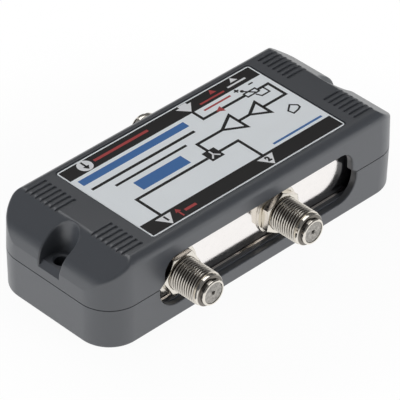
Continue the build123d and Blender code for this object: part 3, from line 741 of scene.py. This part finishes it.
def socket_nut_mesh(name, side, x, z, turned):
    """A hexagonal nut with chamfered corners.

    The radius at an angle a is the soft minimum of the hexagon's, A / cos(a folded to one side),
    and of the chamfer's cone, which rises from A at each face to the corner circle.
    """
    low, high = WASHER_THICKNESS, WASHER_THICKNESS + NUT_THICKNESS
    corner = NUT_APOTHEM / math.cos(math.pi / 6)
    edge, side_start = 1.3 * NUT_CHAMFER, 1.5 * NUT_CHAMFER
    edge_rows, side_rows = 9, 5
    across = np.concatenate(
        (
            np.linspace(low, low + edge, edge_rows),
            np.linspace(low + side_start, high - side_start, side_rows),
            np.linspace(high - edge, high, edge_rows),
        )
    )
    angle = round_angles(NUT_SEGMENTS)
    folded = (angle - math.radians(turned)) % (math.pi / 3) - math.pi / 6
    hexagon = np.broadcast_to(NUT_APOTHEM / np.cos(folded), (len(across), NUT_SEGMENTS))
    rise = np.clip(np.minimum(across - low, high - across) / NUT_CHAMFER, 0, 1)
    cone = np.broadcast_to((NUT_APOTHEM + (corner - NUT_APOTHEM) * rise)[:, None], hexagon.shape)
    outer = -NUT_SOFTNESS * np.logaddexp(-hexagon / NUT_SOFTNESS, -cone / NUT_SOFTNESS)
    bore_distance = np.array((high, high - NUT_BORE_EDGE, low + NUT_BORE_EDGE, low))
    bore = np.full((len(bore_distance), NUT_SEGMENTS), NUT_BORE_RADIUS)
    radius = np.concatenate((outer, bore))
    distance = np.concatenate((across, bore_distance))
    points = around_socket(side, x, z, radius, distance, NUT_SEGMENTS)
    return grid_mesh(name, points, closed_rows=True)


def socket_washer_mesh(name, side, x, z):
    """A flat washer with softened rims: its softened section turned round the axis."""
    section = soften(
        (
            (NUT_BORE_RADIUS, 0.0),
            (WASHER_RADIUS, 0.0),
            (WASHER_RADIUS, WASHER_THICKNESS),
            (NUT_BORE_RADIUS, WASHER_THICKNESS),
        ),
        WASHER_SOFTNESS,
    )
    points = around_socket(side, x, z, section[:, :1], section[:, 1], WASHER_SEGMENTS)
    return grid_mesh(name, points, closed_rows=True)


# Print
class Mark(NamedTuple):
    """A printed mark, in millimetres from the label's middle.

    It is a filled patch, or a line where it has a size, which is then the line's width. With a
    number it is that number at one point, and its size is the number's height.
    """

    points: tuple
    size: float = 0.0
    layer: int = 0
    closed: bool = False
    number: str = ""


def rectangle(left, right, bottom, top):
    """The corners of a rectangle."""
    return ((left, bottom), (right, bottom), (right, top), (left, top))


def disc(x, y, radius, count=64):
    """Points round a circle: (x + r cos a, y + r sin a)."""
    angle = round_angles(count)
    return np.stack((x + radius * np.cos(angle), y + radius * np.sin(angle)), axis=1)


def arrow_head(x, tip_y, base_y, half_width):
    """A triangle that points along Y, from its base to its tip."""
    return ((x - half_width, base_y), (x, tip_y), (x + half_width, base_y))


def label_marks(line):
    """The ink and the marks of each printed piece, where the diagram's lines have one width."""
    hair, fine, bar, bold = 0.5, 0.6, 0.8, 0.9
    margin = 0.4
    edge_x, edge_y = LABEL_CORNER.x / MM - margin, LABEL_CORNER.y / MM - margin
    output_1_x, output_2_x, input_x = -26.7, 9.1, 9.2
    split_x, chain_y = 0.35, 2.1
    diagram = (
        # The bands along both long edges
        Mark(rectangle(-edge_x, edge_x, 12.8, edge_y)),
        Mark(rectangle(-edge_x, edge_x, -edge_y, -12.3)),
        # From the input past the trimmer, through two amplifiers and down to the splitter
        Mark(((input_x, 12.9), (input_x, 8.9), (24.1, 8.8)), line),
        Mark(((28.4, 8.5), (32.35, 8.5), (32.35, chain_y), (24.1, chain_y)), line),
        Mark(((19.1, chain_y), (15.1, chain_y)), line),
        Mark(((9.2, 2.2), (split_x, 2.2), (split_x, -1.6)), line),
        Mark(((24.0, 5.1), (24.0, -0.9), (19.1, chain_y)), line, closed=True),
        Mark(((15.1, 5.6), (15.1, -1.2), (9.3, 2.2)), line, closed=True),
        # The splitter and its lines to both outputs
        Mark(rectangle(-1.75, 2.5, -5.7, -1.5)),
        Mark(((-1.8, -3.9), (output_1_x, -3.9), (output_1_x, -12.4)), line),
        Mark(((2.5, -3.8), (output_2_x, -3.8), (output_2_x, -12.4)), line),
        # The trimmer's boxes, its pointer, and the signs beside it
        Mark(((24.3, 7.8), (28.4, 7.8), (28.4, 9.5), (24.3, 9.5)), hair, closed=True),
        Mark(((26.7, 7.4), (27.4, 5.8), (30.2, 5.8), (30.2, 8.5)), hair),
        Mark(disc(24.9, 10.7, 0.55)),
        Mark(((25.1, 10.4), (27.4, 7.9)), hair),
        Mark(((23.1, 11.8), (24.7, 11.8)), hair),
        Mark(((23.9, 12.55), (23.9, 11.05)), hair),
        Mark(((28.2, 11.65), (29.8, 11.65)), hair),
        # A plain house
        Mark(
            ((29.7, -1.9), (31.2, -3.4), (31.0, -4.4), (29.9, -4.9), (27.9, -5.3), (27.5, -3.6)),
            hair,
            closed=True,
        ),
        # Plain bars
        Mark(((-32.0, 6.7), (3.8, 6.7)), bold),
        Mark(((-26.6, 3.8), (-1.9, 3.8)), bar),
    )
    funnel = (
        (6.5, 16.4), (input_x, 13.3), (11.9, 16.4), (10.6, 16.4), (10.6, 17.2), (7.8, 17.2),
        (7.8, 16.4),
    )
    on_bands = (
        # The input's arrow, both outputs' triangles and the upper band's signs
        Mark(funnel, layer=1),
        Mark(arrow_head(output_1_x, -17.1, -13.2, 2.6), layer=1),
        Mark(arrow_head(output_2_x, -17.1, -13.2, 2.7), layer=1),
        Mark(disc(-26.5, 15.2, 2.2), layer=1),
        Mark(arrow_head(26.65, 17.1, 15.4, 1.25), layer=1),
        Mark(((23.3, 14.4), (29.8, 14.4)), fine, layer=1),
        # The splitter's three arms
        Mark(((0.37, -3.5), (0.37, -2.0)), hair, layer=1),
        Mark(((0.37, -3.5), (-0.95, -4.9)), hair, layer=1),
        Mark(((0.37, -3.5), (1.7, -4.9)), hair, layer=1),
    )
    over = (
        # An arrow on the disc, and the outputs' numbers
        Mark(((-26.5, 16.9), (-26.5, 14.6)), fine, layer=2),
        Mark(arrow_head(-26.5, 13.5, 14.9, 1.0), layer=2),
        Mark(((output_1_x, -14.6),), 2.5, layer=2, number="1"),
        Mark(((output_2_x, -14.6),), 2.5, layer=2, number="2"),
    )
    blue = (
        Mark(rectangle(-32.4, 4.4, 9.2, 11.6)),
        Mark(rectangle(-22.6, -6.1, -2.2, 1.7)),
        Mark(((14.6, -11.0), (32.2, -11.0)), 0.7),
    )
    red = (
        # The supply's arrows, and plain bars
        Mark(((13.8, 8.85), (16.0, 7.6), (16.0, 10.1)), layer=1),
        Mark(((11.9, 11.4), (21.4, 11.4)), fine),
        Mark(arrow_head(19.0, 17.1, 15.3, 1.1), layer=1),
        Mark(((13.0, 14.0), (21.6, 14.0)), fine, layer=1),
        Mark(((-23.4, 15.2), (-4.6, 15.2)), bold, layer=1),
        Mark(arrow_head(-22.5, -13.2, -14.6, 0.9), layer=1),
        Mark(((-22.5, -14.5), (-22.5, -16.6)), hair, layer=1),
        Mark(((-20.9, -15.2), (-17.0, -15.2)), bold, layer=1),
    )
    return {
        "label_black_print": ("black_ink", diagram),
        "label_white_print": ("white_ink", on_bands),
        "label_overprint": ("black_ink", over),
        "label_blue_print": ("blue_ink", blue),
        "label_red_print": ("red_ink", red),
    }


def stroke_mesh(path, width, low, high, closed):
    """A printed line: a flat rectangular section carried along a path with mitred corners.

    At each point the section lies along the mean of the two sides' normals, divided by the
    cosine of half the turn, so that the line keeps its width.
    """
    ahead = np.roll(path, -1, axis=0) - path
    ahead = ahead / np.linalg.norm(ahead, axis=1, keepdims=True)
    behind = np.roll(ahead, 1, axis=0)
    if not closed:
        ahead[-1] = behind[-1]
        behind[0] = ahead[0]
    normal_ahead = np.stack((-ahead[:, 1], ahead[:, 0]), axis=1)
    normal_behind = np.stack((-behind[:, 1], behind[:, 0]), axis=1)
    mitre = normal_ahead + normal_behind
    mitre = mitre / (np.sum(mitre * normal_ahead, axis=1, keepdims=True))
    left = path + mitre * width / 2
    right = path - mitre * width / 2
    level_low = np.full((len(path), 1), low)
    level_high = np.full((len(path), 1), high)
    rings = np.stack(
        (
            np.hstack((left, level_low)),
            np.hstack((right, level_low)),
            np.hstack((right, level_high)),
            np.hstack((left, level_high)),
        ),
        axis=1,
    )
    return grid_mesh("line", rings, closed_rows=closed, capped=not closed)


def patch_mesh(outline, low, high):
    """A printed patch: an outline raised from one level to another, with a face on each end."""
    lower = np.hstack((outline, np.full((len(outline), 1), low)))
    upper = np.hstack((outline, np.full((len(outline), 1), high)))
    return grid_mesh("patch", np.stack((lower, upper)), capped=True)


def number_mesh(text, place, height, low, high):
    """A plain number, set in the built-in face and made a mesh in its place."""
    curve = bpy.data.curves.new("number", "FONT")
    curve.body = text
    curve.size = height
    curve.align_x = "CENTER"
    curve.align_y = "CENTER"
    curve.extrude = (high - low) / 2
    curve.offset = NUMBER_WEIGHT * height
    holder = bpy.data.objects.new("number", curve)
    bpy.context.scene.collection.objects.link(holder)
    depsgraph = bpy.context.evaluated_depsgraph_get()
    mesh = bpy.data.meshes.new_from_object(holder.evaluated_get(depsgraph))
    bpy.data.objects.remove(holder)
    mesh.transform(Matrix.Translation(Vector((*place, (low + high) / 2))))
    return mesh


def mark_mesh(mark, ink):
    """The mesh of a mark, one layer of ink thick and on top of the layers below it."""
    low = LABEL_CORNER.z + mark.layer * ink
    high = low + ink
    points = np.asarray(mark.points, float) * MM
    if mark.number:
        return number_mesh(mark.number, points[0], mark.size * MM, low, high)
    if mark.size:
        return stroke_mesh(points, mark.size * MM, low, high, mark.closed)
    return patch_mesh(points, low, high)


def join_meshes(name, meshes):
    """One mesh from several, in order."""
    joined = bmesh.new()
    for mesh in meshes:
        joined.from_mesh(mesh)
    whole = bpy.data.meshes.new(name)
    joined.to_mesh(whole)
    joined.free()
    for mesh in meshes:
        bpy.data.meshes.remove(mesh)
    return whole


# Operators
class AMPLIFIER_OT_case(bpy.types.Operator):
    """Finish the two moulded covers"""

    bl_idname = "amplifier.finish_case"
    bl_label = "Finish case"

    def execute(self, context):
        settings = context.scene.amplifier_case
        plastic = grained(
            "case_plastic",
            colour=tuple(settings.colour),
            roughness=settings.roughness,
            grain_size=settings.grain_size,
            grain_depth=settings.grain_depth,
            specular=settings.shine,
        )
        smooth_copy("top_cover", plastic)
        smooth_copy("bottom_cover", plastic)
        return {"FINISHED"}


class AMPLIFIER_OT_sockets(bpy.types.Operator):
    """Make the three threaded sockets with their nuts and washers"""

    bl_idname = "amplifier.make_sockets"
    bl_label = "Make sockets"

    def execute(self, context):
        settings = context.scene.amplifier_sockets
        plating = thread_plating_with_painted_shade(tuple(settings.metal))
        nut_plating = grained("nut_nickel", colour=tuple(settings.metal))
        insulator = grained("socket_insulator", colour=tuple(settings.insulator))
        contact = grained("contact_metal")
        for name, side, x, z in socket_places():
            place = (side, x, z)
            body = socket_body_mesh(f"{name}_threaded", *place, settings)
            add_piece(body, plating, replaces=(f"{name}_body",))
            nut = socket_nut_mesh(f"{name}_hexagon", *place, NUT_TURNS[name])
            add_piece(nut, nut_plating, replaces=(f"{name}_nut",))
            washer = socket_washer_mesh(f"{name}_ring", *place)
            add_piece(washer, nut_plating, replaces=(f"{name}_washer",))
            smooth_copy(f"{name}_insulator", insulator)
            finish_node(f"{name}_contact", contact)
        return {"FINISHED"}


class AMPLIFIER_OT_label(bpy.types.Operator):
    """Finish the label's film and print its bands, diagram and plain numbers"""

    bl_idname = "amplifier.print_label"
    bl_label = "Print label"

    def execute(self, context):
        settings = context.scene.amplifier_label
        film = grained("label_film", colour=tuple(settings.film))
        smooth_copy("label_sheet", film)
        inks = {name: grained(name) for name in ("black_ink", "white_ink", "blue_ink", "red_ink")}
        for name, (ink, marks) in label_marks(settings.line_width / MM).items():
            meshes = [mark_mesh(mark, settings.ink_thickness) for mark in marks]
            add_piece(join_meshes(name, meshes), inks[ink])
        return {"FINISHED"}


class AMPLIFIER_OT_shield(bpy.types.Operator):
    """Finish the tinned shield box"""

    bl_idname = "amplifier.finish_shield"
    bl_label = "Finish shield"

    def execute(self, context):
        tin = grained("tinned_sheet")
        for node in ("shield_frame", "shield_top_lid", "shield_bottom_lid"):
            smooth_copy(node, tin)
        return {"FINISHED"}


class AMPLIFIER_OT_supply_socket(bpy.types.Operator):
    """Finish the supply socket and the gain trimmer"""

    bl_idname = "amplifier.finish_supply_socket"
    bl_label = "Finish supply socket and trimmer"

    def execute(self, context):
        smooth_copy("dc_jack_housing", grained("jack_plastic"))
        metal = grained("contact_metal_supply")
        smooth_copy("dc_jack_pin", metal)
        finish_node("dc_jack_spring", metal)
        smooth_copy("gain_trimmer_body", grained("trimmer_plastic"))
        white = grained("rotor_plastic")
        smooth_copy("gain_trimmer_rotor", white, body=ROTOR)
        return {"FINISHED"}


class AMPLIFIER_OT_board(bpy.types.Operator):
    """Finish the circuit board and what is soldered to it"""

    bl_idname = "amplifier.finish_board"
    bl_label = "Finish circuit board"

    def execute(self, context):
        materials = {name: grained(name) for name in dict.fromkeys(BOARD_FINISHES.values())}
        for node, name in BOARD_FINISHES.items():
            finish_node(node, materials[name])
        return {"FINISHED"}


class AMPLIFIER_OT_stage(bpy.types.Operator):
    """Set the floor, the lamps, the white surround and the camera"""

    bl_idname = "amplifier.set_stage"
    bl_label = "Set stage"

    def execute(self, context):
        settings = context.scene.amplifier_stage
        add_floor()
        add_surround(settings.overhead)
        low = {"target": LOW_LAMP_TARGET, "size": LOW_LAMP_SIZE, "mirrored": False}
        add_lamp("side_lamp", SIDE_LAMP_PLACE, settings.side_power, **low)
        add_lamp("front_lamp", FRONT_LAMP_PLACE, settings.front_power, **low)
        add_lamp("top_lamp", TOP_LAMP_PLACE, settings.top_power, TOP_LAMP_TARGET, TOP_LAMP_SIZE)
        add_camera(settings.focal_length)
        context.scene.view_settings.view_transform = "Standard"
        return {"FINISHED"}


# Stage
def shows_background(tree):
    """Two factors: one for camera rays, and one for camera, glossy and transmission rays."""
    rays = tree.nodes.new("ShaderNodeLightPath").outputs
    either = add_math(tree, "MAXIMUM", rays["Is Camera Ray"], rays["Is Glossy Ray"])
    return rays["Is Camera Ray"], add_math(tree, "MAXIMUM", either, rays["Is Transmission Ray"])


def floor_material():
    """A pale matt floor whose share of plain white grows with the distance from the middle.

    To the camera its own shading shows near the object. In reflections it is plain white.
    """
    material, tree, shader, place = new_material("floor_white")
    shader.inputs["Base Color"].default_value = FLOOR_COLOUR
    shader.inputs["Roughness"].default_value = 0.8
    shader.inputs["Specular IOR Level"].default_value = 0.0
    seen, shows = shows_background(tree)
    distance = tree.nodes.new("ShaderNodeVectorMath")
    distance.operation = "LENGTH"
    tree.links.new(place, distance.inputs[0])
    shares = (FLOOR_WHITE_SHARE, 1.0)
    fade = add_range(tree, distance.outputs["Value"], FLOOR_FADE, shares, "SMOOTHSTEP")
    share = add_math(tree, "MAXIMUM", fade, add_math(tree, "SUBTRACT", 1.0, seen))
    white = tree.nodes.new("ShaderNodeEmission")
    white.inputs["Color"].default_value = WHITE
    blend = tree.nodes.new("ShaderNodeMixShader")
    tree.links.new(add_math(tree, "MULTIPLY", share, shows), blend.inputs["Fac"])
    tree.links.new(shader.outputs["BSDF"], blend.inputs[1])
    tree.links.new(white.outputs["Emission"], blend.inputs[2])
    tree.links.new(blend.outputs["Shader"], tree.nodes["Material Output"].inputs["Surface"])
    return material


def add_floor():
    """A round floor: rings at radius r = R t^2, open only in a small ring under the object."""
    radius = FLOOR_RADIUS * np.linspace(FLOOR_MIDDLE, 1, FLOOR_RINGS)[:, None] ** 2
    angle = round_angles(FLOOR_SEGMENTS)[None, :]
    level = np.full((FLOOR_RINGS, FLOOR_SEGMENTS), cad_box[0][2] - FLOOR_GAP)
    points = np.stack((radius * np.cos(angle), radius * np.sin(angle), level), axis=-1)
    mesh = grid_mesh("floor", points)
    mesh.materials.append(floor_material())
    floor = bpy.data.objects.new("floor", mesh)
    bpy.context.scene.collection.objects.link(floor)


def add_surround(overhead):
    """A surround that is white at the horizon and dims towards the zenith.

    With z the height of the direction, it is 1 below the first height, the overhead share above
    the second, and follows a smooth step between them.
    """
    world = bpy.data.worlds.new("surround")
    bpy.context.scene.world = world
    world.use_nodes = True
    tree = world.node_tree
    background = tree.nodes["Background"]
    background.inputs["Color"].default_value = WHITE
    direction = tree.nodes.new("ShaderNodeTexCoord")
    parts = tree.nodes.new("ShaderNodeSeparateXYZ")
    tree.links.new(direction.outputs["Generated"], parts.inputs["Vector"])
    heights = (HORIZON_HEIGHT, ZENITH_HEIGHT)
    strength = add_range(tree, parts.outputs["Z"], heights, (1.0, overhead), "SMOOTHSTEP")
    tree.links.new(strength, background.inputs["Strength"])


def add_lamp(name, place, power, target, size, mirrored=True):
    """A square soft lamp at a place, turned towards a target, shown in reflections or not."""
    lamp = bpy.data.lights.new(name, "AREA")
    lamp.shape = "SQUARE"
    lamp.size = size
    lamp.energy = power
    holder = bpy.data.objects.new(name, lamp)
    bpy.context.scene.collection.objects.link(holder)
    away = Vector(place) - Vector(target)
    turn = away.to_track_quat("Z", "Y").to_matrix().to_4x4()
    holder.matrix_world = Matrix.Translation(Vector(place)) @ turn
    holder.visible_glossy = mirrored


def add_camera(focal_length):
    """The camera of the photograph, from its measured elevation, azimuth, roll and distance."""
    elevation = math.radians(CAMERA_ELEVATION)
    azimuth = math.radians(CAMERA_AZIMUTH)
    roll = math.radians(CAMERA_ROLL)
    distance = focal_length / FILM_WIDTH * PICTURE_PIXELS / PIXELS_PER_MM * MM
    back = Vector(
        (
            -math.sin(azimuth) * math.cos(elevation),
            -math.cos(azimuth) * math.cos(elevation),
            math.sin(elevation),
        )
    )
    level_right = Vector((math.cos(azimuth), -math.sin(azimuth), 0.0))
    level_up = back.cross(level_right)
    right = level_right * math.cos(roll) + level_up * math.sin(roll)
    up = level_up * math.cos(roll) - level_right * math.sin(roll)
    camera = bpy.data.cameras.new("camera")
    camera.lens = focal_length
    camera.sensor_width = FILM_WIDTH
    camera.clip_start = CLIP_START
    camera.clip_end = CLIP_END
    holder = bpy.data.objects.new("camera", camera)
    bpy.context.scene.collection.objects.link(holder)
    turn = Matrix((right, up, back)).transposed().to_4x4()
    holder.matrix_world = Matrix.Translation(back * distance - right * AIM_X - up * AIM_Y) @ turn
    bpy.context.scene.camera = holder


class AMPLIFIER_PT_panel(bpy.types.Panel):
    """Lists the pieces of the amplifier and their settings"""

    bl_label = "Amplifier"
    bl_space_type = "VIEW_3D"
    bl_region_type = "UI"
    bl_category = "Amplifier"

    def draw(self, context):
        layout = self.layout
        for operator in OPERATORS:
            layout.operator(operator.bl_idname)
        scene = context.scene
        for settings in (
            scene.amplifier_case,
            scene.amplifier_sockets,
            scene.amplifier_label,
            scene.amplifier_stage,
        ):
            box = layout.box()
            for key in type(settings).__annotations__:
                box.prop(settings, key)


SETTINGS = (CaseSettings, SocketSettings, LabelSettings, StageSettings)
OPERATORS = (
    AMPLIFIER_OT_case,
    AMPLIFIER_OT_sockets,
    AMPLIFIER_OT_label,
    AMPLIFIER_OT_shield,
    AMPLIFIER_OT_supply_socket,
    AMPLIFIER_OT_board,
    AMPLIFIER_OT_stage,
)
CLASSES = SETTINGS + OPERATORS + (AMPLIFIER_PT_panel,)


def register():
    for cls in CLASSES:
        bpy.utils.register_class(cls)
    bpy.types.Scene.amplifier_case = bpy.props.PointerProperty(type=CaseSettings)
    bpy.types.Scene.amplifier_sockets = bpy.props.PointerProperty(type=SocketSettings)
    bpy.types.Scene.amplifier_label = bpy.props.PointerProperty(type=LabelSettings)
    bpy.types.Scene.amplifier_stage = bpy.props.PointerProperty(type=StageSettings)


def unregister():
    del bpy.types.Scene.amplifier_stage
    del bpy.types.Scene.amplifier_label
    del bpy.types.Scene.amplifier_sockets
    del bpy.types.Scene.amplifier_case
    for cls in reversed(CLASSES):
        bpy.utils.unregister_class(cls)


def main():
    register()
    bpy.ops.amplifier.finish_case()
    bpy.ops.amplifier.make_sockets()
    bpy.ops.amplifier.print_label()
    bpy.ops.amplifier.finish_shield()
    bpy.ops.amplifier.finish_supply_socket()
    bpy.ops.amplifier.finish_board()
    bpy.ops.amplifier.set_stage()


if __name__ == "__main__":
    main()
